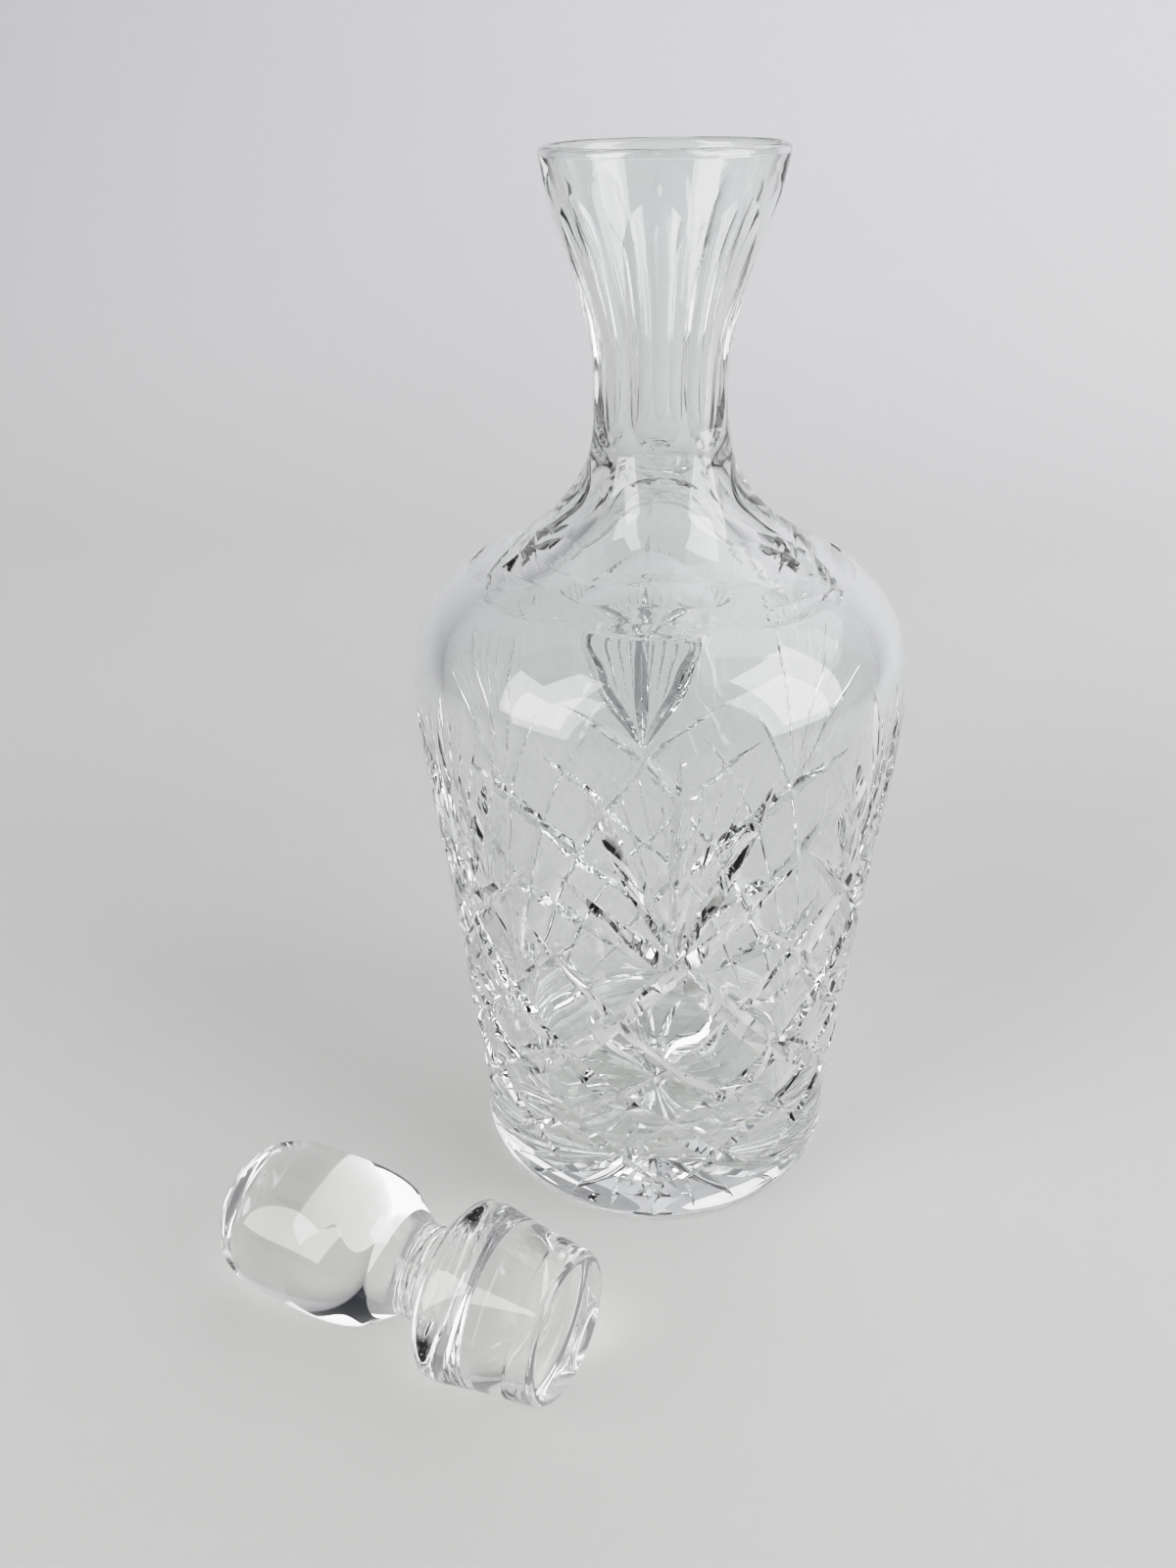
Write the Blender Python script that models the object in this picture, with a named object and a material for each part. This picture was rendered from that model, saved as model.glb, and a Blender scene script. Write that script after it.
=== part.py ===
"""Cut crystal wine decanter, with its solid glass stopper lying on the table in front of it.

Metres, +Z up. The origin is the centre of the decanter's flat underside. Azimuths are measured
round +Z from -Y towards +X, so azimuth 0 is the side that faces -Y.
"""

import math

import bmesh
import bpy
from mathutils import Matrix, Vector

# Decanter: driving dimensions
HEIGHT = 0.245
BASE_RADIUS = 0.0454
MAX_RADIUS = 0.0574
LIP_RADIUS = 0.0245
BORE_RADIUS = 0.0096
FLOOR_THICKNESS = 0.013
BODY_SEGMENTS = 64

# Outside, (radius, height): foot, tapering body, round shoulder, slim neck, flared mouth
OUTSIDE = [
    (BASE_RADIUS, 0.0),
    (0.0465, 0.0006),
    (0.0469, 0.0022),
    (0.0468, 0.012),
    (0.0489, 0.036),
    (0.0511, 0.061),
    (0.0534, 0.086),
    (0.0559, 0.108),
    (0.0572, 0.123),
    (MAX_RADIUS, 0.134),
    (0.0567, 0.142),
    (0.0544, 0.1478),
    (0.0506, 0.1533),
    (0.0434, 0.1593),
    (0.0326, 0.1654),
    (0.0246, 0.1714),
    (0.0194, 0.1776),
    (0.0160, 0.1830),
    (0.0144, 0.1880),
    (0.0149, 0.1970),
    (0.0153, 0.2080),
    (0.0167, 0.2140),
    (0.0183, 0.2205),
    (0.0202, 0.2266),
    (0.0225, 0.2328),
    (0.0238, 0.2390),
    (LIP_RADIUS, 0.2434),
    (0.0241, 0.2446),
    (0.0233, HEIGHT),
]

# Inside, (radius, height): mouth, throat, shoulder, body, rounded floor
INSIDE = [
    (0.0226, HEIGHT),
    (0.0218, 0.2443),
    (0.0206, 0.2385),
    (0.0180, 0.2305),
    (0.0155, 0.2235),
    (0.0128, 0.2160),
    (0.0108, 0.2090),
    (0.0098, 0.2010),
    (BORE_RADIUS, 0.1900),
    (0.0104, 0.1800),
    (0.0121, 0.1735),
    (0.0150, 0.1680),
    (0.0208, 0.1620),
    (0.0270, 0.1580),
    (0.0335, 0.1540),
    (0.0402, 0.1500),
    (0.0460, 0.1450),
    (0.0490, 0.1392),
    (0.0498, 0.1300),
    (0.0480, 0.1100),
    (0.0446, 0.0850),
    (0.0404, 0.0470),
    (0.0380, 0.0260),
    (0.0345, 0.0170),
    (0.0280, 0.0138),
    (0.0, FLOOR_THICKNESS),
]

# Neck flutes and shoulder cuts: eight of each, one above the other
RING_COUNT = 8
RING_AZIMUTH = math.radians(-7.0)
FLUTE_FLOOR = [  # (distance of the flat from the axis, height), run-outs at both ends
    (0.0168, 0.1840),
    (0.0137, 0.1925),
    (0.0136, 0.2030),
    (0.0141, 0.2095),
    (0.0154, 0.2150),
    (0.0170, 0.2210),
    (0.0190, 0.2275),
    (0.0214, 0.2330),
    (0.0246, 0.2390),
]
FLUTE_HALF_WIDTH = 0.0088
SCALLOP_RADIUS, SCALLOP_HEIGHT = 0.0372, 0.1636
SCALLOP_WHEEL = 0.034
SCALLOP_DEPTH = 0.0013
SCALLOP_TILT = math.radians(60.0)
SCALLOP_HALF_WIDTH = 0.022

# Lattice of long mitre cuts, six leaning each way: heights at every thirtieth of a turn
LATTICE_COUNT = 6
LATTICE_HEIGHTS = [0.112, 0.085, 0.0545, 0.0335, 0.0150]
LATTICE_STEP = math.radians(30.0)
MITRE_DEPTHS = [-0.0003, 0.0021, 0.0021, 0.0014, -0.0003]
MITRE_HALF_ANGLE = math.radians(50.0)
MITRE_LIFT = 0.0012
MITRE_STATIONS = 3

# Stopper: driving dimensions, measured along its axis from the outer end of the knob
KNOB_RADIUS = 0.0182
KNOB_LENGTH = 0.0486
KNOB_POWER = 3.0
COLLAR_RADIUS = 0.0098
COLLAR_END = 0.0606
PLUG_RADIUS = 0.0199
PLUG_END_RADIUS = 0.0165
STOPPER_LENGTH = 0.0901
STOPPER_SEGMENTS = 40
KNOB_STEPS = 11

# How the stopper lies: place of the middle of its knob, and the direction of its plug
STOPPER_PLACE = (-0.0778, -0.0684)
STOPPER_HEADING = math.radians(-24.7)


def clear_scene():
    """Removes every object of the start-up scene."""
    for item in list(bpy.data.objects):
        bpy.data.objects.remove(item)


def smooth_outline(points, steps):
    """Catmull-Rom curve through the points, with a number of steps between each two."""
    ends = [points[0]] + points + [points[-1]]
    line = []
    for a, b, c, d in zip(ends, ends[1:], ends[2:], ends[3:]):
        for i in range(steps):
            t = i / steps
            line.append(
                tuple(
                    q + 0.5 * t * (r - p + t * (2 * p - 5 * q + 4 * r - s + t * (3 * (q - r) + s - p)))
                    for p, q, r, s in zip(a, b, c, d)
                )
            )
    line.append(points[-1])
    return line


def outer_radius(height):
    """Radius of the uncut outside at a height."""
    for (r0, z0), (r1, z1) in zip(OUTSIDE, OUTSIDE[1:]):
        if z0 <= height <= z1:
            return r0 + (r1 - r0) * (height - z0) / (z1 - z0)
    return LIP_RADIUS


def link(name, mesh_builder):
    """Turns a bmesh into a linked object and frees it."""
    mesh = bpy.data.meshes.new(name)
    bmesh.ops.recalc_face_normals(mesh_builder, faces=mesh_builder.faces[:])
    mesh_builder.to_mesh(mesh)
    mesh_builder.free()
    item = bpy.data.objects.new(name, mesh)
    bpy.context.scene.collection.objects.link(item)
    return item


def turned(name, profile, segments):
    """Solid of revolution of a profile that starts and ends on the Z axis."""
    bm = bmesh.new()
    verts = [bm.verts.new((max(r, 0.0), 0.0, z)) for r, z in profile]
    edges = [bm.edges.new(pair) for pair in zip(verts, verts[1:])]
    bmesh.ops.spin(
        bm,
        geom=verts + edges,
        cent=(0.0, 0.0, 0.0),
        axis=(0.0, 0.0, 1.0),
        steps=segments,
        angle=2 * math.pi,
        use_merge=True,
    )
    bmesh.ops.remove_doubles(bm, verts=bm.verts[:], dist=1e-6)
    return link(name, bm)


def glass(name, tint):
    """Clear crystal material."""
    material = bpy.data.materials.new(name)
    material.use_nodes = True
    shader = material.node_tree.nodes["Principled BSDF"]
    shader.inputs["Base Color"].default_value = tint
    shader.inputs["Roughness"].default_value = 0.02
    shader.inputs["Metallic"].default_value = 0.0
    shader.inputs["IOR"].default_value = 1.54
    shader.inputs["Transmission Weight"].default_value = 1.0
    return material


def shade(item, material, angle):
    """Gives the object its material and smooth shading up to an angle."""
    item.data.materials.clear()
    item.data.materials.append(material)
    item.data.shade_smooth()
    item.data.set_sharp_from_angle(angle=angle)


def guide(item):
    """Marks a cutter, which isn't part of the object."""
    item.hide_render = True
    item.display_type = "WIRE"
    return item


def around(azimuth):
    """Rotation that brings a shape made at azimuth 0 to another azimuth."""
    return Matrix.Rotation(azimuth, 4, "Z")


def loft(bm, rings):
    """Closed solid through rings of equal length, capped at both ends."""
    layers = [[bm.verts.new(p) for p in ring] for ring in rings]
    count = len(layers[0])
    for low, high in zip(layers, layers[1:]):
        for i in range(count):
            j = (i + 1) % count
            bm.faces.new((low[i], low[j], high[j], high[i]))
    bm.faces.new(layers[0])
    bm.faces.new(layers[-1])


def flute_cutters(parity):
    """Every second flute cutter: a flat-faced bar that follows the neck's hollow outline."""
    bm = bmesh.new()
    line = smooth_outline(FLUTE_FLOOR, 2)
    section = [(x, z) for x, z in line] + [(0.034, line[-1][1]), (0.034, line[0][1])]
    for k in range(parity, RING_COUNT, 2):
        turn = around(RING_AZIMUTH + 2 * math.pi * k / RING_COUNT)
        rings = [
            [turn @ Vector((side * FLUTE_HALF_WIDTH, -x, z)) for x, z in section]
            for side in (-1, 1)
        ]
        loft(bm, rings)
    return guide(link(f"flute_cutters_{parity}", bm))


def scallop_cutters(parity):
    """Every second shoulder cut: the rim of a wheel that lies across the slope."""
    bm = bmesh.new()
    across = SCALLOP_WHEEL - SCALLOP_DEPTH
    centre = Vector(
        (
            0.0,
            -SCALLOP_RADIUS - across * math.cos(SCALLOP_TILT),
            SCALLOP_HEIGHT + across * math.sin(SCALLOP_TILT),
        )
    )
    steps = 72
    for k in range(parity, RING_COUNT, 2):
        turn = around(RING_AZIMUTH + 2 * math.pi * k / RING_COUNT)
        rings = []
        for side in (-1, 1):
            ring = []
            for i in range(steps):
                angle = 2 * math.pi * i / steps
                spoke = Vector((0.0, math.cos(angle), math.sin(angle))) * SCALLOP_WHEEL
                ring.append(turn @ (centre + spoke + Vector((side * SCALLOP_HALF_WIDTH, 0.0, 0.0))))
            rings.append(ring)
        loft(bm, rings)
    return guide(link(f"scallop_cutters_{parity}", bm))


def mitre_cutters(lean):
    """Six long V-shaped cutters that wind down the body; lean is 1 or -1."""
    bm = bmesh.new()
    reach = len(LATTICE_HEIGHTS) - 1
    levels = smooth_outline(list(zip(LATTICE_HEIGHTS, MITRE_DEPTHS)), MITRE_STATIONS)
    last = len(levels) - 1
    for k in range(LATTICE_COUNT):
        start = (2 * k - lean) * LATTICE_STEP
        spots = []
        for i, (height, depth) in enumerate(levels):
            azimuth = start + lean * LATTICE_STEP * reach * i / last
            outward = Vector((math.sin(azimuth), -math.cos(azimuth), 0.0))
            spots.append((outward * outer_radius(height) + Vector((0, 0, height)), outward, depth))
        rings = []
        for i, (spot, outward, depth) in enumerate(spots):
            along = spots[min(i + 1, last)][0] - spots[max(i - 1, 0)][0]
            side = along.cross(outward).normalized()
            spread = (depth + MITRE_LIFT) * math.tan(MITRE_HALF_ANGLE)
            crest = spot + outward * MITRE_LIFT
            rings.append([crest - side * spread, crest + side * spread, spot - outward * depth])
        loft(bm, rings)
    return guide(link(f"mitre_cutters_{'right' if lean > 0 else 'left'}", bm))


def cut(item, cutter):
    """Takes the cutter's shape out of the object."""
    boolean = item.modifiers.new(cutter.name, "BOOLEAN")
    boolean.operation = "DIFFERENCE"
    boolean.object = cutter


def decanter_body(material):
    """Hollow decanter in one piece of glass: turned shape, then flutes, scallops and mitres."""
    body = turned("decanter_body", [(0.0, 0.0)] + OUTSIDE + INSIDE, BODY_SEGMENTS)
    for parity in (0, 1):
        cut(body, flute_cutters(parity))
        cut(body, scallop_cutters(parity))
    for lean in (1, -1):
        cut(body, mitre_cutters(lean))
    shade(body, material, math.radians(18.0))
    return body


def stopper_profile():
    """Outline of the stopper from the outer end of its knob to the flat end of its plug."""
    half = KNOB_LENGTH / 2
    knob = []
    for i in range(KNOB_STEPS + 1):
        swing = math.pi * i / KNOB_STEPS
        along = -math.cos(swing)
        reach = math.copysign(abs(along) ** 0.8, along)
        radius = KNOB_RADIUS * (1 - abs(reach) ** KNOB_POWER) ** (1 / KNOB_POWER)
        if i == 0 or reach < 0 or radius > COLLAR_RADIUS:
            knob.append((radius, half + half * reach))
    collar = [
        (COLLAR_RADIUS + 0.0006, KNOB_LENGTH - 0.0010),
        (COLLAR_RADIUS, KNOB_LENGTH + 0.0010),
        (COLLAR_RADIUS, COLLAR_END - 0.0010),
        (COLLAR_RADIUS + 0.0010, COLLAR_END),
    ]
    plug = [
        (PLUG_RADIUS - 0.0030, COLLAR_END + 0.0005),
        (PLUG_RADIUS - 0.0009, COLLAR_END + 0.0014),
        (PLUG_RADIUS, COLLAR_END + 0.0034),
        (PLUG_END_RADIUS, STOPPER_LENGTH - 0.0014),
        (PLUG_END_RADIUS - 0.0014, STOPPER_LENGTH),
        (0.0, STOPPER_LENGTH),
    ]
    return knob + collar + plug


def stopper(material):
    """Solid stopper, turned upright and then laid down so that knob and plug touch the table."""
    item = turned("stopper", stopper_profile(), STOPPER_SEGMENTS)
    span = COLLAR_END + 0.0034 - KNOB_LENGTH / 2
    rise = math.asin((PLUG_RADIUS - KNOB_RADIUS) / span)
    to_knob_centre = Matrix.Translation((0.0, 0.0, -KNOB_LENGTH / 2))
    lay_down = Matrix.Rotation(math.pi / 2 - rise, 4, "Y")
    heading = Matrix.Rotation(STOPPER_HEADING, 4, "Z")
    item.data.transform(heading @ lay_down @ to_knob_centre)
    lowest = min(v.co.z for v in item.data.vertices)
    item.location = (STOPPER_PLACE[0], STOPPER_PLACE[1], -lowest)
    shade(item, material, math.radians(30.0))
    return item


def main():
    """Builds the decanter and its stopper."""
    clear_scene()
    decanter_body(glass("crystal", (0.96, 0.98, 0.97, 1.0)))
    stopper(glass("stopper_crystal", (0.98, 0.99, 0.99, 1.0)))


main()
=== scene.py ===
"""Cut crystal wine decanter with its loose stopper, on a pale studio sweep.

Metres, +Z up, origin at the centre of the decanter's underside. Azimuths are measured round +Z
from -Y towards +X, so azimuth 0 faces the camera.
"""

import math

import bpy
import numpy as np
from mathutils import Matrix, Vector


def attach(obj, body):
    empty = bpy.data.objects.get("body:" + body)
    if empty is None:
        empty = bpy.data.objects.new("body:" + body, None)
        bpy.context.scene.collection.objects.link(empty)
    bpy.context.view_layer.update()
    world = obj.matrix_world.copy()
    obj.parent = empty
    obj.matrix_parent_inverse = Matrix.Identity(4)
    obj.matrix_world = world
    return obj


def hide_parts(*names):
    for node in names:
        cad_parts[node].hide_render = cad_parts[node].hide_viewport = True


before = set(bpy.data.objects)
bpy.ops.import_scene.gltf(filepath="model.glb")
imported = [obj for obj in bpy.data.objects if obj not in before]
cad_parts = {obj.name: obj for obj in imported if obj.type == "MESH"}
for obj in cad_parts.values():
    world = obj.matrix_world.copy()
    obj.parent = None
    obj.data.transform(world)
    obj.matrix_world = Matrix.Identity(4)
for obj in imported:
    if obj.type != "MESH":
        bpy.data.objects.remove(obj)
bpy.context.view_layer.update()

SEGMENTS = 216
STOPPER_SEGMENTS = 160
MAX_RADIUS = 0.0574
OUTLINE_STEP = 0.0012
SOFTEN_PASSES = 4

# Outside of the decanter, (radius, height)
OUTSIDE = [
    (0.0, 0.0),
    (0.030, 0.0),
    (0.0450, 0.0),
    (0.0463, 0.0006),
    (0.0469, 0.0022),
    (0.0468, 0.012),
    (0.0475, 0.025),
    (0.0489, 0.037),
    (0.0511, 0.061),
    (0.0534, 0.086),
    (0.0558, 0.108),
    (0.0570, 0.122),
    (0.0573, 0.132),
    (0.0566, 0.1415),
    (0.0544, 0.1478),
    (0.0506, 0.1533),
    (0.0434, 0.1593),
    (0.0326, 0.1654),
    (0.0246, 0.1714),
    (0.0194, 0.1776),
    (0.0160, 0.1836),
    (0.0148, 0.1890),
    (0.0149, 0.1960),
    (0.0150, 0.2030),
    (0.0155, 0.2085),
    (0.0167, 0.2145),
    (0.0183, 0.2205),
    (0.0202, 0.2266),
    (0.0222, 0.2325),
    (0.0238, 0.2385),
]

# Inside of the decanter, from under the rim down to the middle of the floor
INSIDE = [
    (0.0209, 0.2385),
    (0.0182, 0.2305),
    (0.0155, 0.2235),
    (0.0128, 0.2160),
    (0.0108, 0.2090),
    (0.0098, 0.2010),
    (0.0096, 0.1900),
    (0.0104, 0.1800),
    (0.0121, 0.1735),
    (0.0150, 0.1680),
    (0.0208, 0.1620),
    (0.0270, 0.1580),
    (0.0337, 0.1540),
    (0.0406, 0.1500),
    (0.0462, 0.1450),
    (0.0490, 0.1392),
    (0.0499, 0.1300),
    (0.0494, 0.1200),
    (0.0481, 0.1100),
    (0.0444, 0.0850),
    (0.0396, 0.0470),
    (0.0366, 0.0260),
    (0.0332, 0.0172),
    (0.0270, 0.0139),
    (0.0, 0.0130),
]
RIM_OUTER, RIM_INNER = 0.0247, 0.0222
RIM_HEIGHT = 0.245
RIM_ROUND = 0.0013
RIM_OVERTURN = 0.35

# Faint waves of the blown inside: the height where they begin and the rise they grow over, the
# heights they fade between, and for each wave its count round the glass, its rise per radian
# and its start
WAVE_DEPTH = 0.00016
WAVE_BEGIN = (0.014, 0.012)
WAVE_FADE = (0.060, 0.100)
WAVES = [(9, 0.021, 0.0), (14, 0.034, 1.3), (5, 0.013, 2.1), (19, 0.017, 4.0)]

# Part of the outside that cuts follow, and how far a cutter stands out of the glass
SKIN_SPAN = (0.0015, 0.2400)
LATTICE_LIFT = 0.0006
FAN_LIFT = 0.0005

# Lattice: six long mitre cuts each way, and six finer ones each way between those. Heights of
# its levels from the top down, and the depths of a cut at every level that it passes.
PATTERN_COUNT = 6
LATTICE_AZIMUTH = math.radians(5.0)
LATTICE_PITCH = math.radians(30.0)
LEVEL_HEIGHTS = [0.112, 0.0985, 0.085, 0.069, 0.0540, 0.0437, 0.0335, 0.0225, 0.0125]
BOLD_DEPTHS = [-0.0002, 0.0015, 0.0024, 0.0025, 0.0025, 0.0024, 0.0022, 0.0017, -0.0003]
FINE_DEPTHS = [-0.0003, 0.0010, 0.0014, 0.0015, 0.0016, 0.0016, 0.0013, -0.0003]
BOLD_HALF_ANGLE = math.radians(50.0)
FINE_HALF_ANGLE = math.radians(50.0)
LEVEL_STATIONS = 6

# Fans above the crossings: for each cut the azimuth and height of its tip, its depth, its half
# angle, and where along the line from the foot it begins; degrees. Its ends run out of the glass.
FAN_FOOT = 0.0875
FAN_RUN_OUT = 0.0002
FAN_STATIONS = 19
FAN_CUTS = [
    (0.0, 0.143, 0.0021, 47.0, 0.0),
    (20.0, 0.1335, 0.0021, 49.0, 0.0),
    (-20.0, 0.1335, 0.0021, 49.0, 0.0),
    (5.0, 0.1410, 0.00036, 45.0, 0.40),
    (-5.0, 0.1410, 0.00036, 45.0, 0.40),
    (9.5, 0.1400, 0.00036, 45.0, 0.36),
    (-9.5, 0.1400, 0.00036, 45.0, 0.36),
    (14.5, 0.1385, 0.00036, 45.0, 0.34),
    (-14.5, 0.1385, 0.00036, 45.0, 0.34),
]

# Neck flutes, (radius, height) along the floor of each, and shoulder scallops
RING_COUNT = 8
FLUTE_AZIMUTH = math.radians(-4.0)
FLUTE_FLOOR = [
    (0.0170, 0.1836),
    (0.0139, 0.1915),
    (0.0136, 0.2000),
    (0.0138, 0.2060),
    (0.0145, 0.2110),
    (0.0156, 0.2160),
    (0.0171, 0.2215),
    (0.0190, 0.2275),
    (0.0214, 0.2330),
    (0.0246, 0.2390),
]
FLUTE_HOLLOW = 0.035
FLUTE_HALF_WIDTH = 0.0088
FLUTE_CUTTER_BACK = 0.036
SCALLOP_RADIUS, SCALLOP_HEIGHT = 0.0357, 0.1637
SCALLOP_WHEEL = 0.028
SCALLOP_DEPTH = 0.0018
SCALLOP_TILT = math.radians(61.0)
SCALLOP_HALF_WIDTH = 0.022

# Star under the base; its cuts run out just below the glass
STAR_POINTS = 24
STAR_RADIUS = 0.0405
STAR_DEPTH = 0.0026
STAR_RUN_OUT = -0.0004
STAR_CUTTER_BOTTOM = -0.003

# Stopper: places along its axis are measured from the outer end of the knob
KNOB_RADIUS = 0.0181
KNOB_LENGTH = 0.0486
KNOB_POWER = 3.3
COLLAR_RADIUS = 0.0104
COLLAR_END = 0.0606
PLUG_RADIUS = 0.0199
PLUG_END_RADIUS = 0.0165
PLUG_LINE, PLUG_LINE_RADIUS = 0.0735, 0.0185
STOPPER_LENGTH = 0.0901

# The knob's curve stops this far outside the collar, and the collar is plain for this much
# before and after its grooves
KNOB_NECK = 0.0022
PLAIN_BEFORE, PLAIN_AFTER = 0.0042, 0.0026
COLLAR_GROOVES = 3
COLLAR_GROOVE_DEPTH = 0.00016

# Rounding of the plug's corners, and how far past the collar it rests on the table
SHOULDER_ROUND = 0.0042
FILLET = 0.0014
PLUG_REST = 0.0034

# Where the stopper lies on the table, and which way it points
STOPPER_PLACE = (-0.0772, -0.0683)
STOPPER_HEADING = math.radians(-24.7)

# A face belongs to the turned surface if it turns and strays less than this from the outline
SKIN_TURN = math.radians(9.0)
SKIN_GAP = 0.00012

# Folds sharper than these stay crisp; the others shade smooth
BODY_CREASE = math.radians(22.0)
STOPPER_CREASE = math.radians(28.0)

CRYSTAL_IOR = 1.545
CRYSTAL_HAZE = 0.035
DECANTER_TINT = (0.972, 0.980, 0.977, 1)
STOPPER_TINT = (0.955, 0.957, 0.950, 1)

# Light that passes straight through each glass surface to what it shades
DECANTER_SHADOW = (0.74, 0.745, 0.74, 1)
STOPPER_SHADOW = (0.87, 0.873, 0.87, 1)

# Paper sheet: half width, where it starts to curve up, radius of the curve, top, and the level
# of its flat part, just under the glass
SWEEP_REACH = 4.5
SWEEP_START, SWEEP_CURVE, SWEEP_TOP = 0.5, 0.9, 2.6
SWEEP_LEVEL = -0.0002

# Paper with painted light: its colour is painted darker towards the front and paler towards the
# back, as the lamps' light falls off; span along Y, and colour by place in that span
PAINTED_LIGHT_SPAN = (-0.30, 1.40)
PAPER_MOTTLE = 0.06
PAPER_PAINTED_LIGHT_COLOURS = [
    (0.02, (0.570, 0.571, 0.559)),
    (0.20, (0.612, 0.613, 0.601)),
    (0.30, (0.600, 0.602, 0.592)),
    (0.45, (0.670, 0.671, 0.668)),
    (0.72, (0.760, 0.761, 0.766)),
    (1.0, (0.825, 0.826, 0.845)),
]

# Tone curve of the view: scene brightness and what it is shown as, with highlights rolled off
BRIGHTEST = 4.0
ROLL_OFF = [
    (0.1, 0.07),
    (0.2, 0.16),
    (0.4, 0.38),
    (0.6, 0.6),
    (0.8, 0.75),
    (1.2, 0.86),
    (2.0, 0.92),
]
ROLL_OFF_END = 0.97

# Room all round: its colour low on the far side, and its colour from this share of the way to
# high on the camera's side
ROOM_LOW = (0.52, 0.522, 0.523, 1)
ROOM_HIGH_FROM = 0.7
ROOM_HIGH = (0.30, 0.303, 0.315, 1)

DARK_CARD = [
    (-0.59, -0.36, 0.62),
    (-0.62, -0.02, 0.62),
    (-0.42, -0.02, 0.98),
    (-0.38, -0.34, 0.98),
]
DARK_CLOTH = (0.001, 0.004, 0.020, 1)

# Lights: windows stand at an azimuth in degrees and aim at the middle of the decanter
WINDOW_HEIGHT, WINDOW_REACH = 0.75, 1.1
WINDOW_TARGET = (0, 0, 0.12)
WINDOWS = [
    ("window_left", -57, (0.75, 1.2), 8.8, (1.0, 0.995, 0.98)),
    ("window_right", 70, (0.8, 1.2), 10.4, (0.985, 0.985, 1.0)),
]

# Camera
CAMERA_PLACE = (0.0, -0.277, 0.2567)
CAMERA_PITCH = math.radians(29.106)
CAMERA_YAW = math.radians(3.563)
CAMERA_ROLL = math.radians(-1.110)
CAMERA_LENS = 29.25


# ---------------------------------------------------------------- outlines and turned shapes


def curve_through(points, step):
    """Even steps along a centripetal Catmull-Rom curve through the points."""
    pts = np.array(points, dtype=float)
    ends = np.vstack([2 * pts[0] - pts[1], pts, 2 * pts[-1] - pts[-2]])
    dense = []
    for p0, p1, p2, p3 in zip(ends, ends[1:], ends[2:], ends[3:]):
        t1 = math.sqrt(np.linalg.norm(p1 - p0))
        t2 = t1 + math.sqrt(np.linalg.norm(p2 - p1))
        t3 = t2 + math.sqrt(np.linalg.norm(p3 - p2))
        t = np.linspace(t1, t2, 24, endpoint=False)[:, None]
        a1 = p0 * (t1 - t) / t1 + p1 * t / t1
        a2 = p1 * (t2 - t) / (t2 - t1) + p2 * (t - t1) / (t2 - t1)
        a3 = p2 * (t3 - t) / (t3 - t2) + p3 * (t - t2) / (t3 - t2)
        b1 = a1 * (t2 - t) / t2 + a2 * t / t2
        b2 = a2 * (t3 - t) / (t3 - t1) + a3 * (t - t1) / (t3 - t1)
        dense.append(b1 * (t2 - t) / (t2 - t1) + b2 * (t - t1) / (t2 - t1))
    dense = np.vstack(dense + [pts[-1:]])
    along = np.concatenate([[0], np.cumsum(np.linalg.norm(np.diff(dense, axis=0), axis=1))])
    even = np.linspace(0, along[-1], max(2, round(along[-1] / step)) + 1)
    return np.stack([np.interp(even, along, dense[:, i]) for i in (0, 1)], axis=1)


def soften(line, passes):
    """Evens out the curvature of a line of points, keeping its ends."""
    line = line.copy()
    for _ in range(passes):
        line[1:-1] = 0.25 * line[:-2] + 0.5 * line[1:-1] + 0.25 * line[2:]
    return line


def line_normals(line):
    """Normals on the right-hand side of a line that runs up the outside."""
    run = np.gradient(line, axis=0)
    run /= np.linalg.norm(run, axis=1, keepdims=True)
    return np.stack([run[:, 1], -run[:, 0]], axis=1)


def new_piece(name, verts, faces):
    """Mesh object of the given points and faces, linked to the scene."""
    mesh = bpy.data.meshes.new(name)
    mesh.from_pydata([tuple(v) for v in verts], [], faces)
    mesh.validate()
    piece = bpy.data.objects.new(name, mesh)
    bpy.context.scene.collection.objects.link(piece)
    return piece


def vertex_points(mesh):
    """Positions of a mesh's vertices, one row each."""
    points = np.empty(len(mesh.vertices) * 3)
    mesh.vertices.foreach_get("co", points)
    return points.reshape(-1, 3)


def face_values(mesh, kind, width=1):
    """One of the numbers, or rows of numbers, that a mesh keeps for each face."""
    values = np.empty(len(mesh.polygons) * width, dtype=float if width > 1 else int)
    mesh.polygons.foreach_get(kind, values)
    return values.reshape(-1, width) if width > 1 else values


def corner_values(mesh, kind):
    """One of the whole numbers that a mesh keeps for each corner of its faces."""
    values = np.empty(len(mesh.loops), dtype=int)
    mesh.loops.foreach_get(kind, values)
    return values


def signed_volume(mesh):
    """Volume enclosed by a mesh, negative when it is inside out."""
    mesh.calc_loop_triangles()
    corners = np.empty(len(mesh.loop_triangles) * 3, dtype=int)
    mesh.loop_triangles.foreach_get("vertices", corners)
    a, b, c = vertex_points(mesh)[corners.reshape(-1, 3)].transpose(1, 0, 2)
    return float(np.einsum("ij,ij->i", a, np.cross(b, c)).sum()) / 6


def face_outwards(mesh):
    """Turns a mesh's faces outwards if they point inwards."""
    if signed_volume(mesh) < 0:
        mesh.flip_normals()


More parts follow.
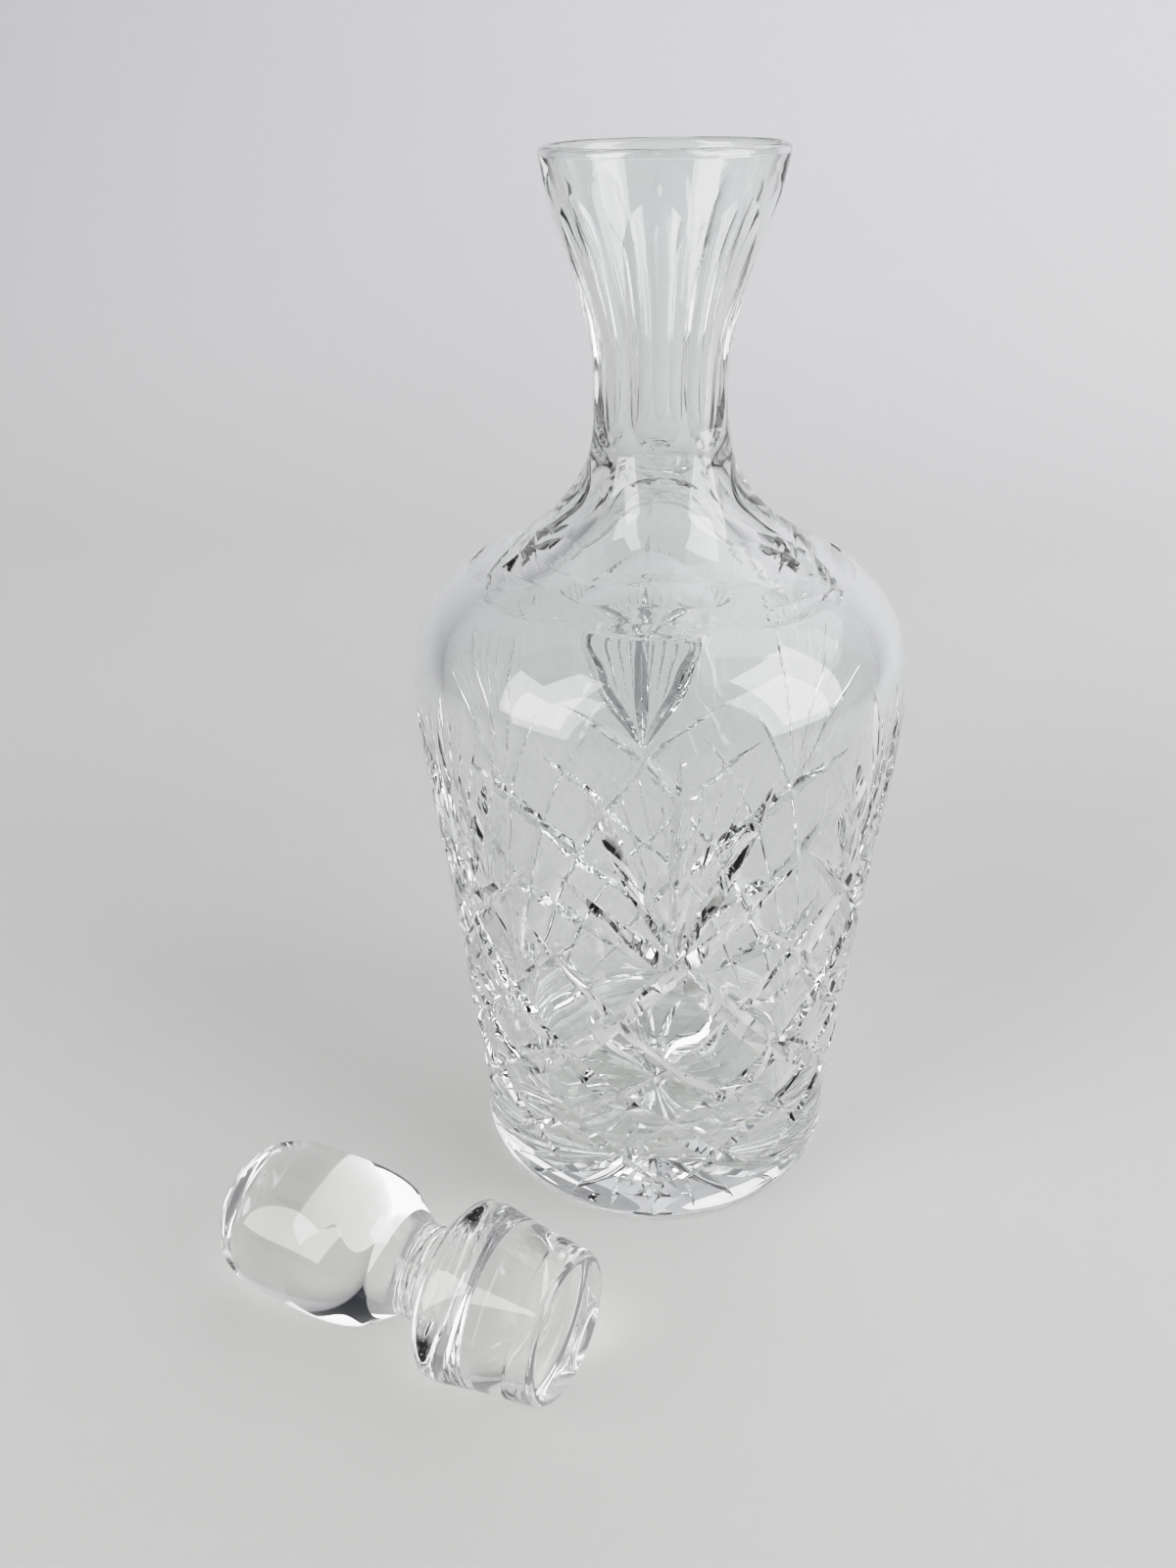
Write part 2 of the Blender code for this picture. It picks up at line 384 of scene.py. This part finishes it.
def turned(name, line, segments):
    """Solid of revolution of a line that starts and ends on the Z axis."""
    angles = np.arange(segments) * 2 * math.pi / segments
    rings = line[1:-1]
    verts = [(0, 0, line[0][1])]
    for r, z in rings:
        verts += list(zip(r * np.sin(angles), -r * np.cos(angles), np.full(segments, z)))
    verts.append((0, 0, line[-1][1]))
    faces = []
    last = len(verts) - 1
    top = 1 + (len(rings) - 1) * segments
    for j in range(segments):
        k = (j + 1) % segments
        faces.append((0, 1 + k, 1 + j))
        faces.append((last, top + j, top + k))
    for i in range(len(rings) - 1):
        low = 1 + i * segments
        for j in range(segments):
            k = (j + 1) % segments
            faces.append((low + j, low + k, low + segments + k, low + segments + j))
    return new_piece(name, verts, faces)


# ---------------------------------------------------------------- cutters


class Cutters:
    """Closed cutting shapes gathered into one mesh; none touches another in the same mesh."""

    def __init__(self):
        self.verts = []
        self.faces = []

    def loft(self, rings):
        """Adds a solid through rings of equal length, closed at both ends."""
        first = len(self.verts)
        size = len(rings[0])
        for ring in rings:
            self.verts += [tuple(p) for p in ring]
        for i in range(len(rings) - 1):
            a = first + i * size
            for j in range(size):
                k = (j + 1) % size
                self.faces.append((a + j, a + k, a + size + k, a + size + j))
        end = first + (len(rings) - 1) * size
        self.faces.append(tuple(first + j for j in reversed(range(size))))
        self.faces.append(tuple(end + j for j in range(size)))

    def take_from(self, piece):
        """Cuts the shapes out of a piece."""
        tool = new_piece("tool", self.verts, self.faces)
        face_outwards(tool.data)
        boolean = piece.modifiers.new("cut", "BOOLEAN")
        boolean.operation = "DIFFERENCE"
        boolean.solver = "MANIFOLD"
        boolean.object = tool
        graph = bpy.context.evaluated_depsgraph_get()
        graph.update()
        mesh = bpy.data.meshes.new_from_object(piece.evaluated_get(graph))
        piece.modifiers.clear()
        old = piece.data
        piece.data = mesh
        if len(mesh.vertices) == len(old.vertices):
            print("NOTE: a cutter left the piece as it was")
        bpy.data.meshes.remove(old)
        bpy.data.objects.remove(tool)


class Skin:
    """The uncut outside of the decanter: points and normals by azimuth and height."""

    def __init__(self, line):
        keep = (line[:, 1] > SKIN_SPAN[0]) & (line[:, 1] < SKIN_SPAN[1])
        self.z = line[keep, 1]
        self.r = line[keep, 0]
        self.n = line_normals(line)[keep]

    def spot(self, azimuth, height):
        """Surface point and outward normal."""
        r = np.interp(height, self.z, self.r)
        nr = np.interp(height, self.z, self.n[:, 0])
        nz = np.interp(height, self.z, self.n[:, 1])
        out = Vector((math.sin(azimuth), -math.cos(azimuth), 0))
        return out * r + Vector((0, 0, height)), (out * nr + Vector((0, 0, nz))).normalized()


def mitre(skin, path, depths, half_angle, lift):
    """Rings of a V-shaped cutter that follows a path of (azimuth, height)."""
    spots = [skin.spot(*p) for p in path]
    last = len(spots) - 1
    rings = []
    for i, ((point, normal), depth) in enumerate(zip(spots, depths)):
        run = spots[min(i + 1, last)][0] - spots[max(i - 1, 0)][0]
        side = run.cross(normal).normalized()
        half = (depth + lift) * math.tan(half_angle)
        crest = point + normal * lift
        rings.append((crest - side * half, crest + side * half, point - normal * depth))
    return rings


def smooth_heights(levels):
    """Heights of many levels, on one smooth line through the lattice's crossings."""
    knots = curve_through(list(zip(np.arange(len(LEVEL_HEIGHTS)) * 0.01, LEVEL_HEIGHTS)), 0.0005)
    return np.interp(np.array(levels) * 0.02, knots[:, 0], knots[:, 1])


def cut_lattice(body, skin):
    """Long bold and fine mitres, first all that lean one way, then the other."""
    for lean in (1, -1):
        cutters = Cutters()
        for k in range(PATTERN_COUNT):
            for start, first, depths, angle in (
                (2 * k + 1, 0.0, BOLD_DEPTHS, BOLD_HALF_ANGLE),
                (2 * k + 0.5 * lean, 0.5, FINE_DEPTHS, FINE_HALF_ANGLE),
            ):
                count = (len(depths) - 1) * LEVEL_STATIONS + 1
                levels = first + np.linspace(0, (len(depths) - 1) / 2, count)
                turns = start + lean * (levels - first)
                azimuths = LATTICE_AZIMUTH + LATTICE_PITCH * turns
                fine = np.interp(np.linspace(0, 1, count), np.linspace(0, 1, len(depths)), depths)
                path = list(zip(azimuths, smooth_heights(levels)))
                cutters.loft(mitre(skin, path, fine, angle, LATTICE_LIFT))
        cutters.take_from(body)


def cut_fans(body, skin):
    """Leaves and rays that spread upwards from every upper crossing."""
    for tip_azimuth, tip_height, depth, half_angle, start in FAN_CUTS:
        cutters = Cutters()
        along = np.linspace(0, 1, FAN_STATIONS)
        depths = (depth + FAN_RUN_OUT) * (1 - (2 * along - 1) ** 2) ** 0.8 - FAN_RUN_OUT
        steps = start + (1 - start) * along
        for k in range(PATTERN_COUNT):
            foot = LATTICE_AZIMUTH + 2 * k * LATTICE_PITCH
            azimuths = foot + math.radians(tip_azimuth) * steps
            heights = FAN_FOOT + (tip_height - FAN_FOOT) * steps
            path = list(zip(azimuths, heights))
            cutters.loft(mitre(skin, path, depths, math.radians(half_angle), FAN_LIFT))
        cutters.take_from(body)


def cut_flutes(body):
    """Eight slightly hollow flutes round the neck."""
    line = curve_through(FLUTE_FLOOR, 0.0015)
    across = np.linspace(-FLUTE_HALF_WIDTH, FLUTE_HALF_WIDTH, 13)
    for parity in (0, 1):
        cutters = Cutters()
        for k in range(parity, RING_COUNT, 2):
            turn = Matrix.Rotation(FLUTE_AZIMUTH + 2 * math.pi * k / RING_COUNT, 4, "Z")
            rings = []
            for x, z in line:
                ring = [(a, -x - a * a / (2 * FLUTE_HOLLOW), z) for a in across]
                ring += [(side * FLUTE_HALF_WIDTH, -FLUTE_CUTTER_BACK, z) for side in (1, -1)]
                rings.append([turn @ Vector(p) for p in ring])
            cutters.loft(rings)
        cutters.take_from(body)


def cut_scallops(body):
    """Eight lens-shaped wheel cuts round the shoulder."""
    reach = SCALLOP_WHEEL - SCALLOP_DEPTH
    hub = Vector(
        (
            0,
            -SCALLOP_RADIUS - reach * math.cos(SCALLOP_TILT),
            SCALLOP_HEIGHT + reach * math.sin(SCALLOP_TILT),
        )
    )
    angles = np.arange(180) * 2 * math.pi / 180
    for parity in (0, 1):
        cutters = Cutters()
        for k in range(parity, RING_COUNT, 2):
            turn = Matrix.Rotation(FLUTE_AZIMUTH + 2 * math.pi * k / RING_COUNT, 4, "Z")
            rings = []
            for x in (-SCALLOP_HALF_WIDTH, SCALLOP_HALF_WIDTH):
                edge = [
                    Vector((x, math.cos(a) * SCALLOP_WHEEL, math.sin(a) * SCALLOP_WHEEL))
                    for a in angles
                ]
                rings.append([turn @ (hub + point) for point in edge])
            cutters.loft(rings)
        cutters.take_from(body)


def cut_star(body):
    """Star of V cuts under the base, deepest at its middle."""
    cutters = Cutters()
    below = STAR_RUN_OUT
    verts = []
    radii = np.linspace(0.0006, STAR_RADIUS, 24)
    pitch = math.pi / STAR_POINTS
    for r in radii:
        depth = STAR_DEPTH * (1 - (r / STAR_RADIUS) ** 2) + below * (r / STAR_RADIUS) ** 2
        spread = min(math.asin(min(1, max(depth - below, 0.00002) / r)), 0.98 * pitch)
        edge = depth - r * math.sin(spread)
        for k in range(STAR_POINTS):
            mid = 2 * pitch * k
            for angle, z in (
                (mid, depth),
                (mid + spread, edge),
                (mid + pitch, edge),
                (mid + 2 * pitch - spread, edge),
            ):
                verts.append((r * math.sin(angle), -r * math.cos(angle), z))
    size = 4 * STAR_POINTS
    rings = [verts[i : i + size] for i in range(0, len(verts), size)]
    outer = [(x, y, STAR_CUTTER_BOTTOM) for x, y, _ in rings[-1]]
    cutters.loft(rings + [outer])
    cutters.take_from(body)


# ---------------------------------------------------------------- shading normals


def polish(piece, line, sharp_angle):
    """Exact normals on the turned surface, smooth ones inside each cut, and crisp cut edges."""
    mesh = piece.data
    points = vertex_points(mesh)
    mesh.shade_smooth()
    radius = np.hypot(points[:, 0], points[:, 1])
    along = np.linspace(0, len(line) - 1, 4 * len(line))
    fine = np.stack([np.interp(along, range(len(line)), row) for row in line.T], axis=1)
    fine_normals = np.stack(
        [np.interp(along, range(len(line)), row) for row in line_normals(line).T], axis=1
    )
    nearest = np.empty(len(points), dtype=int)
    gap = np.empty(len(points))
    for i in range(0, len(points), 4096):
        part = slice(i, i + 4096)
        d = (radius[part, None] - fine[None, :, 0]) ** 2
        d += (points[part, 2, None] - fine[None, :, 1]) ** 2
        nearest[part] = d.argmin(axis=1)
        gap[part] = np.sqrt(d.min(axis=1))
    flat = fine_normals[nearest]
    safe = np.maximum(radius, 1e-9)
    around = flat[:, 0] / safe
    exact = np.stack([around * points[:, 0], around * points[:, 1], flat[:, 1]], axis=1)
    exact /= np.linalg.norm(exact, axis=1, keepdims=True)

    corner_vert = corner_values(mesh, "vertex_index")
    starts = face_values(mesh, "loop_start")
    face_of = np.repeat(np.arange(len(starts)), face_values(mesh, "loop_total"))
    face_normal = face_values(mesh, "normal", 3)
    match = np.einsum("ij,ij->i", exact[corner_vert], face_normal[face_of])
    good = (match > math.cos(SKIN_TURN)) & (gap[corner_vert] < SKIN_GAP)
    on_skin = np.bitwise_and.reduceat(good, starts)

    corner_edge = corner_values(mesh, "edge_index")
    order = np.argsort(corner_edge, kind="stable")
    edges = corner_edge[order]
    faces = face_of[order]
    pair = np.nonzero(edges[1:] == edges[:-1])[0]
    one, two = faces[pair], faces[pair + 1]
    fold = np.einsum("ij,ij->i", face_normal[one], face_normal[two])
    hard = (fold < math.cos(sharp_angle)) | (on_skin[one] != on_skin[two])
    sharp = np.zeros(len(mesh.edges), dtype=bool)
    sharp[edges[pair][hard]] = True
    attribute = mesh.attributes.get("sharp_edge")
    if attribute is None:
        attribute = mesh.attributes.new("sharp_edge", "BOOLEAN", "EDGE")
    attribute.data.foreach_set("value", sharp)
    mesh.update()

    normals = np.empty(len(mesh.loops) * 3, dtype=np.float32)
    mesh.corner_normals.foreach_get("vector", normals)
    normals = normals.reshape(-1, 3)
    skin_corner = on_skin[face_of]
    normals[skin_corner] = exact[corner_vert][skin_corner]
    mesh.normals_split_custom_set(normals.tolist())


# ---------------------------------------------------------------- pieces


def bend(points, radius, count):
    """Rounds the corners of a line, each with an arc of at most the radius."""
    points = [np.array(p, dtype=float) for p in points]
    line = [points[0]]
    for before, corner, after in zip(points, points[1:], points[2:]):
        back, ahead = before - corner, after - corner
        reach = min(radius, 0.45 * np.linalg.norm(back), 0.45 * np.linalg.norm(ahead))
        start = corner + back / np.linalg.norm(back) * reach
        end = corner + ahead / np.linalg.norm(ahead) * reach
        for t in np.linspace(0, 1, count):
            line.append((1 - t) ** 2 * start + 2 * t * (1 - t) * corner + t * t * end)
    line.append(points[-1])
    return np.array(line)


def outline():
    """The decanter's outline in two parts: underside up to the rim, and rim down to the floor."""
    outside = soften(curve_through(OUTSIDE, OUTLINE_STEP), SOFTEN_PASSES)
    inside = soften(curve_through(INSIDE, OUTLINE_STEP), SOFTEN_PASSES)
    middle = (RIM_OUTER + RIM_INNER) / 2
    reach = (RIM_OUTER - RIM_INNER) / 2
    crown = [
        (middle + reach * math.cos(a), RIM_HEIGHT - RIM_ROUND + RIM_ROUND * math.sin(a))
        for a in np.linspace(-RIM_OVERTURN, math.pi + RIM_OVERTURN, 13)
    ]
    outside = np.vstack([outside, crown[:7]])
    inside = np.vstack([crown[7:], inside])
    outside[:, 0] = np.minimum(outside[:, 0], MAX_RADIUS)
    outside[:, 1] = np.maximum(outside[:, 1], 0.0)
    return outside, inside


def wavy(piece, first):
    """Gives the vertices of the inside, from the first one on, its faint waves."""
    mesh = piece.data
    points = vertex_points(mesh)
    part = points[first:]
    turn = np.arctan2(part[:, 0], -part[:, 1])
    height = part[:, 2]
    wave = sum(np.sin(n * turn + height / span + start) for n, span, start in WAVES) / len(WAVES)
    low, high = WAVE_FADE
    begin, rise = WAVE_BEGIN
    fade = np.clip((high - height) / (high - low), 0, 1)
    fade *= np.clip((height - begin) / rise, 0, 1)
    radius = np.maximum(np.hypot(part[:, 0], part[:, 1]), 1e-6)
    part[:, :2] *= (1 + 2 * WAVE_DEPTH * wave * fade / radius)[:, None]
    mesh.vertices.foreach_set("co", points.ravel())
    mesh.update()


def make_decanter():
    """The decanter's single piece of glass, turned and then cut."""
    outside, inside = outline()
    body = turned("decanter_crystal", np.vstack([outside, inside]), SEGMENTS)
    face_outwards(body.data)
    wavy(body, 1 + (len(outside) - 1) * SEGMENTS)
    skin = Skin(outside)
    cut_flutes(body)
    cut_scallops(body)
    cut_lattice(body, skin)
    cut_fans(body, skin)
    cut_star(body)
    polish(body, outside, BODY_CREASE)
    return body


def stopper_line():
    """Outline of the stopper from the outer end of its knob to the flat end of its plug."""
    half = KNOB_LENGTH / 2
    knob = []
    for swing in np.linspace(0, 1, 90):
        reach = -math.cos(math.pi * swing)
        radius = KNOB_RADIUS * (1 - abs(reach) ** KNOB_POWER) ** (1 / KNOB_POWER)
        if reach < 0 or radius > COLLAR_RADIUS + KNOB_NECK:
            knob.append((radius, half + half * reach))
    collar = [
        (COLLAR_RADIUS + 0.0012, KNOB_LENGTH - 0.0004),
        (COLLAR_RADIUS + 0.0005, KNOB_LENGTH + 0.0008),
    ]
    begin, end = KNOB_LENGTH + PLAIN_BEFORE, COLLAR_END - PLAIN_AFTER
    for t in np.linspace(0, 1, COLLAR_GROOVES * 8 + 1):
        wave = COLLAR_GROOVE_DEPTH * abs(math.sin(math.pi * COLLAR_GROOVES * t))
        collar.append((COLLAR_RADIUS + wave, begin + (end - begin) * t))
    fillet = [
        (COLLAR_RADIUS + FILLET * (1 - math.cos(a)), COLLAR_END - FILLET * (1 - math.sin(a)))
        for a in np.linspace(0, 1.3, 6)
    ]
    shoulder = []
    for a in np.linspace(0.15, math.pi / 2, 12):
        radius = PLUG_RADIUS + SHOULDER_ROUND * (math.sin(a) - 1)
        shoulder.append((radius, COLLAR_END + SHOULDER_ROUND * (1 - math.cos(a))))
    corners = [
        (PLUG_RADIUS, COLLAR_END + SHOULDER_ROUND + 0.0004),
        (PLUG_LINE_RADIUS, PLUG_LINE),
        (PLUG_LINE_RADIUS - 0.00015, PLUG_LINE + 0.0005),
        (PLUG_END_RADIUS, STOPPER_LENGTH - 0.0012),
        (PLUG_END_RADIUS - 0.0013, STOPPER_LENGTH),
        (0.0, STOPPER_LENGTH),
    ]
    plug = bend(corners, FILLET, 7)
    return np.vstack([knob, collar, fillet, shoulder, plug])


def make_stopper():
    """The solid stopper, laid down so that knob and plug touch the table."""
    line = stopper_line()
    piece = turned("stopper_crystal", line, STOPPER_SEGMENTS)
    face_outwards(piece.data)
    span = COLLAR_END + PLUG_REST - KNOB_LENGTH / 2
    rise = math.asin((PLUG_RADIUS - KNOB_RADIUS) / span)
    heading = Matrix.Rotation(STOPPER_HEADING, 4, "Z")
    lay_down = heading @ Matrix.Rotation(math.pi / 2 - rise, 4, "Y")
    piece.data.transform(lay_down @ Matrix.Translation((0, 0, -KNOB_LENGTH / 2)))
    lowest = min(v.co.z for v in piece.data.vertices)
    piece.data.transform(Matrix.Translation((*STOPPER_PLACE, -lowest)))
    piece.data.shade_smooth()
    piece.data.set_sharp_from_angle(angle=STOPPER_CREASE)
    return piece


# ---------------------------------------------------------------- materials


def crystal(name, tint, haze_scale, shadow):
    """Clear polished crystal with the faintest haze of handling, and a lightened shadow."""
    material = bpy.data.materials.new(name)
    material.use_nodes = True
    nodes = material.node_tree.nodes
    links = material.node_tree.links
    shader = nodes["Principled BSDF"]
    shader.inputs["Base Color"].default_value = tint
    shader.inputs["IOR"].default_value = CRYSTAL_IOR
    shader.inputs["Transmission Weight"].default_value = 1.0
    shader.inputs["Specular IOR Level"].default_value = 0.5
    place = nodes.new("ShaderNodeTexCoord")
    haze = nodes.new("ShaderNodeTexNoise")
    haze.inputs["Scale"].default_value = haze_scale
    haze.inputs["Detail"].default_value = 4.0
    links.new(place.outputs["Object"], haze.inputs["Vector"])
    ramp = nodes.new("ShaderNodeMapRange")
    ramp.inputs["From Min"].default_value = 0.45
    ramp.inputs["From Max"].default_value = 0.80
    ramp.inputs["To Min"].default_value = 0.0
    ramp.inputs["To Max"].default_value = CRYSTAL_HAZE
    links.new(haze.outputs["Fac"], ramp.inputs["Value"])
    links.new(ramp.outputs["Result"], shader.inputs["Roughness"])
    path = nodes.new("ShaderNodeLightPath")
    through = nodes.new("ShaderNodeBsdfTransparent")
    through.inputs["Color"].default_value = shadow
    mix = nodes.new("ShaderNodeMixShader")
    links.new(path.outputs["Is Shadow Ray"], mix.inputs["Fac"])
    links.new(shader.outputs["BSDF"], mix.inputs[1])
    links.new(through.outputs["BSDF"], mix.inputs[2])
    links.new(mix.outputs["Shader"], nodes["Material Output"].inputs["Surface"])
    return material


def backdrop_material():
    """Matt, very pale grey studio paper with the faintest mottling, and painted light: darker
    towards the front and paler towards the back, as the light falls.
    """
    material = bpy.data.materials.new("studio_paper_painted_light")
    material.use_nodes = True
    nodes = material.node_tree.nodes
    links = material.node_tree.links
    shader = nodes["Principled BSDF"]
    shader.inputs["Roughness"].default_value = 0.75
    shader.inputs["Specular IOR Level"].default_value = 0.25
    place = nodes.new("ShaderNodeTexCoord")
    noise = nodes.new("ShaderNodeTexNoise")
    noise.inputs["Scale"].default_value = 3.0
    links.new(place.outputs["Object"], noise.inputs["Vector"])
    split = nodes.new("ShaderNodeSeparateXYZ")
    links.new(place.outputs["Object"], split.inputs["Vector"])
    # Painted light and shade: the paper's colour follows its place along Y, darker at the front
    # and paler at the back, with the mottle added on top
    depth = nodes.new("ShaderNodeMapRange")
    depth.inputs["From Min"].default_value = PAINTED_LIGHT_SPAN[0]
    depth.inputs["From Max"].default_value = PAINTED_LIGHT_SPAN[1]
    links.new(split.outputs["Y"], depth.inputs["Value"])
    mottle = nodes.new("ShaderNodeMath")
    mottle.operation = "MULTIPLY_ADD"
    mottle.inputs[1].default_value = PAPER_MOTTLE
    links.new(noise.outputs["Fac"], mottle.inputs[0])
    links.new(depth.outputs["Result"], mottle.inputs[2])
    ramp = nodes.new("ShaderNodeValToRGB")
    for position, _ in PAPER_PAINTED_LIGHT_COLOURS[1:-1]:
        ramp.color_ramp.elements.new(position)
    for element, (position, colour) in zip(ramp.color_ramp.elements, PAPER_PAINTED_LIGHT_COLOURS):
        element.position = position
        element.color = (*colour, 1)
    links.new(mottle.outputs["Value"], ramp.inputs["Fac"])
    links.new(ramp.outputs["Color"], shader.inputs["Base Color"])
    return material


# ---------------------------------------------------------------- studio


def make_sweep():
    """Table and wall in one curved sheet."""
    line = [(-SWEEP_REACH, SWEEP_LEVEL), (SWEEP_START, SWEEP_LEVEL)]
    for a in np.linspace(0, math.pi / 2, 25)[1:]:
        height = SWEEP_CURVE - SWEEP_CURVE * math.cos(a) + SWEEP_LEVEL
        line.append((SWEEP_START + SWEEP_CURVE * math.sin(a), height))
    line.append((SWEEP_START + SWEEP_CURVE, SWEEP_TOP))
    verts = [(x, y, z) for y, z in line for x in (-SWEEP_REACH, SWEEP_REACH)]
    faces = [(2 * i, 2 * i + 1, 2 * i + 3, 2 * i + 2) for i in range(len(line) - 1)]
    sweep = new_piece("studio_sweep", verts, faces)
    sweep.data.shade_smooth()
    sweep.data.materials.append(backdrop_material())


def area_light(name, place, target, size, power, colour):
    """Soft rectangular light aimed at a point."""
    data = bpy.data.lights.new(name, "AREA")
    data.shape = "RECTANGLE"
    data.size, data.size_y = size
    data.energy = power
    data.color = colour
    lamp = bpy.data.objects.new(name, data)
    lamp.location = place
    aim = Vector(target) - Vector(place)
    lamp.rotation_euler = aim.to_track_quat("-Z", "Y").to_euler()
    bpy.context.scene.collection.objects.link(lamp)


def make_world():
    """Pale room all round, darker high up and on the camera's side."""
    world = bpy.data.worlds.new("room")
    bpy.context.scene.world = world
    world.use_nodes = True
    nodes = world.node_tree.nodes
    links = world.node_tree.links
    background = nodes["Background"]
    place = nodes.new("ShaderNodeTexCoord")
    split = nodes.new("ShaderNodeSeparateXYZ")
    links.new(place.outputs["Generated"], split.inputs["Vector"])
    side = nodes.new("ShaderNodeMath")
    side.operation = "SUBTRACT"
    links.new(split.outputs["Z"], side.inputs[0])
    links.new(split.outputs["Y"], side.inputs[1])
    half = nodes.new("ShaderNodeMath")
    half.operation = "MULTIPLY"
    half.inputs[1].default_value = 0.5
    links.new(side.outputs["Value"], half.inputs[0])
    ramp = nodes.new("ShaderNodeValToRGB")
    ramp.color_ramp.elements[0].position = 0.0
    ramp.color_ramp.elements[0].color = ROOM_LOW
    ramp.color_ramp.elements[1].position = ROOM_HIGH_FROM
    ramp.color_ramp.elements[1].color = ROOM_HIGH
    links.new(half.outputs["Value"], ramp.inputs["Fac"])
    links.new(ramp.outputs["Color"], background.inputs["Color"])
    background.inputs["Strength"].default_value = 1.0


def make_camera():
    """Camera a little above the mouth, looking down at the decanter."""
    data = bpy.data.cameras.new("camera")
    data.lens = CAMERA_LENS
    data.sensor_width = 36.0
    data.clip_start = 0.01
    camera = bpy.data.objects.new("camera", data)
    p, y, r = CAMERA_PITCH, CAMERA_YAW, CAMERA_ROLL
    ahead = Vector((-math.cos(p) * math.sin(y), math.cos(p) * math.cos(y), -math.sin(p)))
    level = ahead.cross(Vector((0, 0, 1))).normalized()
    upright = level.cross(ahead)
    right = level * math.cos(r) + upright * math.sin(r)
    up = upright * math.cos(r) - level * math.sin(r)
    turn = Matrix((right, up, -ahead)).transposed().to_4x4()
    camera.matrix_world = Matrix.Translation(CAMERA_PLACE) @ turn
    bpy.context.scene.collection.objects.link(camera)
    bpy.context.scene.camera = camera


def polar(azimuth, height, reach):
    """Point at a distance from the Z axis; azimuth in degrees, 0 on the camera's side."""
    a = math.radians(azimuth)
    return (reach * math.sin(a), -reach * math.cos(a), height)


def dark_card():
    """Dark cloth up on the left, which the glass picks up as small dark glints."""
    card = new_piece("dark_card", DARK_CARD, [(0, 1, 2, 3)])
    material = bpy.data.materials.new("dark_cloth")
    material.use_nodes = True
    shader = material.node_tree.nodes["Principled BSDF"]
    shader.inputs["Base Color"].default_value = DARK_CLOTH
    shader.inputs["Roughness"].default_value = 0.9
    shader.inputs["Specular IOR Level"].default_value = 0.0
    card.data.materials.append(material)
    card.visible_camera = False
    card.visible_shadow = False


def soft_highlights():
    """Plain colours, with the brightest lights rolled off gently instead of clipped."""
    view = bpy.context.scene.view_settings
    view.view_transform = "Standard"
    view.use_curve_mapping = True
    mapping = view.curve_mapping
    mapping.white_level = (BRIGHTEST, BRIGHTEST, BRIGHTEST)
    curve = mapping.curves[3]
    for x, y in ROLL_OFF:
        curve.points.new(x / BRIGHTEST, y)
    curve.points[-1].location = (1.0, ROLL_OFF_END)
    mapping.update()


def make_studio():
    """Camera, room, paper, dark card, lights and tone curve."""
    make_camera()
    make_world()
    make_sweep()
    dark_card()
    for name, azimuth, size, power, colour in WINDOWS:
        place = polar(azimuth, WINDOW_HEIGHT, WINDOW_REACH)
        area_light(name, place, WINDOW_TARGET, size, power, colour)
    area_light("ceiling", (1.1, 0.9, 1.7), (0.8, 0.8, 0), (2.0, 2.0), 11.0, (1.0, 1.0, 1.0))
    cycles = bpy.context.scene.cycles
    cycles.max_bounces = 24
    cycles.transmission_bounces = 24
    cycles.transparent_max_bounces = 24
    cycles.glossy_bounces = 10
    cycles.diffuse_bounces = 4
    cycles.caustics_reflective = True
    cycles.caustics_refractive = True
    soft_highlights()


def main():
    make_studio()
    body = make_decanter()
    body.data.materials.clear()
    body.data.materials.append(crystal("cut_crystal", DECANTER_TINT, 60.0, DECANTER_SHADOW))
    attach(body, "decanter")
    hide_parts("decanter_body")
    stopper = make_stopper()
    stopper.data.materials.append(crystal("stopper_crystal", STOPPER_TINT, 80.0, STOPPER_SHADOW))
    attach(stopper, "stopper")
    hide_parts("stopper")


main()
